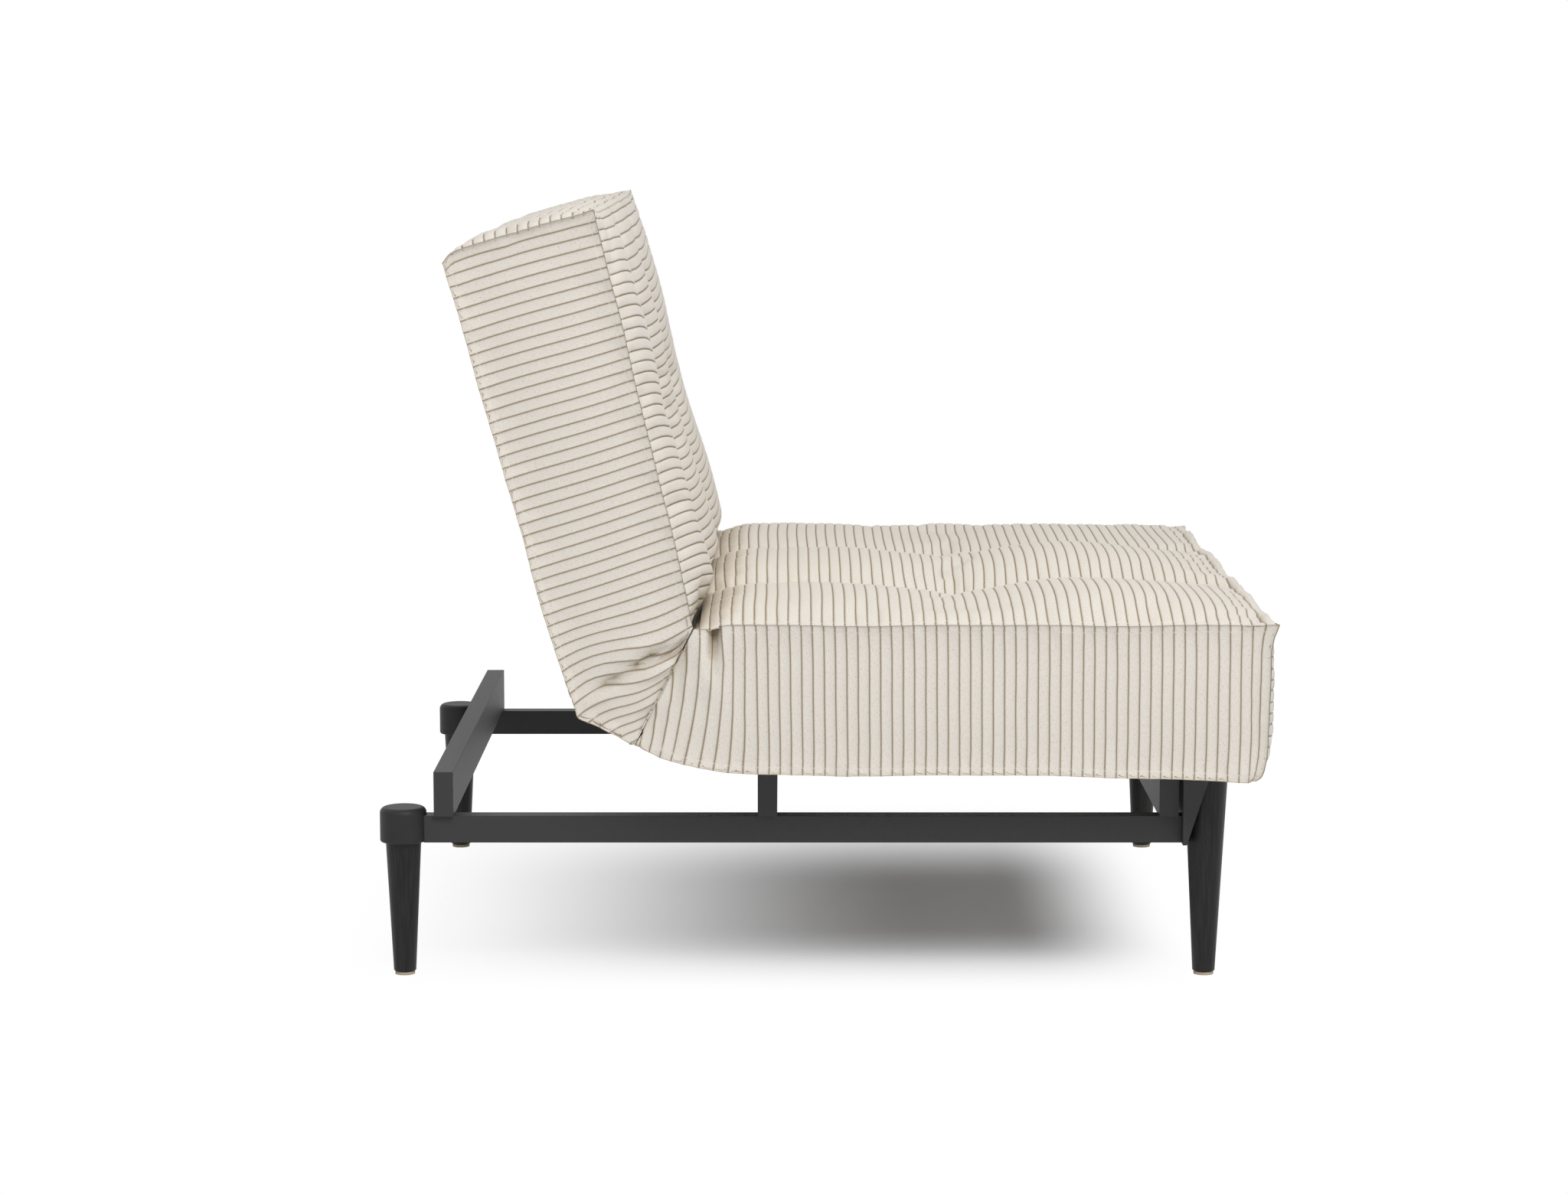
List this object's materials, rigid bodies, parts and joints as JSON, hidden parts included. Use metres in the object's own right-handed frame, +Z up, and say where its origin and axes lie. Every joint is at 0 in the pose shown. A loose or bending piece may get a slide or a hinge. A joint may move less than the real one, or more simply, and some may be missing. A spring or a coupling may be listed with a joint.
{
  "type": "armless recliner",
  "caption": "Armless recliner with a corded-fabric seat and a back that folds down flat on ratchet hinges, on a black steel underframe with tapered wooden legs.",
  "frame": {"origin": "on the floor, under the middle of the chair's length and width", "axes": "+X to the front of the chair, +Y to the sitter's left, +Z up"},
  "size_m": [0.91, 0.9, 0.7964],
  "materials": {
    "corded_fabric": "matte",
    "foam": "matte",
    "steel_coat": "matte",
    "frame_steel": "satin",
    "hinge_steel": "satin",
    "zinc_steel": "satin",
    "stained_wood": "satin",
    "plywood": "satin",
    "felt": "matte"
  },
  "bodies": {
    "base": {"left_side_rail": "steel_coat", "right_side_rail": "steel_coat", "rear_crossbeam": "steel_coat", "middle_crossbeam": "steel_coat", "front_crossbeam": "steel_coat", "beam_end_plugs": "steel_coat", "rear_left_leg_cap": "steel_coat", "front_left_leg_bracket": "steel_coat", "rear_left_leg": "stained_wood", "front_left_leg": "stained_wood", "rear_left_glide": "felt", "front_left_glide": "felt", "rear_right_leg_cap": "steel_coat", "front_right_leg_bracket": "steel_coat", "rear_right_leg": "stained_wood", "front_right_leg": "stained_wood", "rear_right_glide": "felt", "front_right_glide": "felt", "leg_bolts": "zinc_steel", "seat_left_frame_tube": "frame_steel", "seat_right_frame_tube": "frame_steel", "seat_front_frame_tube": "frame_steel", "seat_rear_frame_tube": "frame_steel", "seat_slats": "plywood", "seat_spacers": "zinc_steel", "seat_bolts": "zinc_steel", "seat_foam": "foam", "seat_cover": "corded_fabric", "fold_gusset": "corded_fabric", "crease_gusset": "corded_fabric", "seat_hinge_bolts": "zinc_steel", "left_seat_hinge_arm": "hinge_steel", "left_hinge_pivot": "hinge_steel", "right_seat_hinge_arm": "hinge_steel", "right_hinge_pivot": "hinge_steel"},
    "backrest": {"back_left_frame_tube": "frame_steel", "back_right_frame_tube": "frame_steel", "back_top_frame_tube": "frame_steel", "back_bottom_frame_tube": "frame_steel", "back_slats": "plywood", "back_foam": "foam", "back_cover": "corded_fabric", "back_hinge_bolts": "zinc_steel", "left_back_hinge_arm": "hinge_steel", "left_pawl_rivet": "hinge_steel", "left_pawl_spring": "hinge_steel", "right_back_hinge_arm": "hinge_steel", "right_pawl_rivet": "hinge_steel", "right_pawl_spring": "hinge_steel"},
    "left_pawl": {"left_pawl": "hinge_steel"},
    "right_pawl": {"right_pawl": "hinge_steel"}
  },
  "joints": [
    {"name": "back_recline", "type": "hinge", "parent": "base", "child": "backrest", "pos_m": [-0.185, 0, 0.275], "axis": [0, -1, 0], "range_deg": [-8, 74.3], "deforming": ["fold_gusset", "crease_gusset"]},
    {"name": "left_pawl_pivot", "type": "hinge", "parent": "backrest", "child": "left_pawl", "pos_m": [-0.21578, 0.312, 0.3144], "axis": [0, -1, 0], "range_deg": [0, 12], "stiffness_Nm_per_rad": 0.06, "springref_deg": -5.73, "deforming": ["left_pawl_spring"]},
    {"name": "right_pawl_pivot", "type": "hinge", "parent": "backrest", "child": "right_pawl", "pos_m": [-0.21578, -0.312, 0.3144], "axis": [0, -1, 0], "range_deg": [0, 12], "stiffness_Nm_per_rad": 0.06, "springref_deg": -5.73, "deforming": ["right_pawl_spring"]}
  ]
}
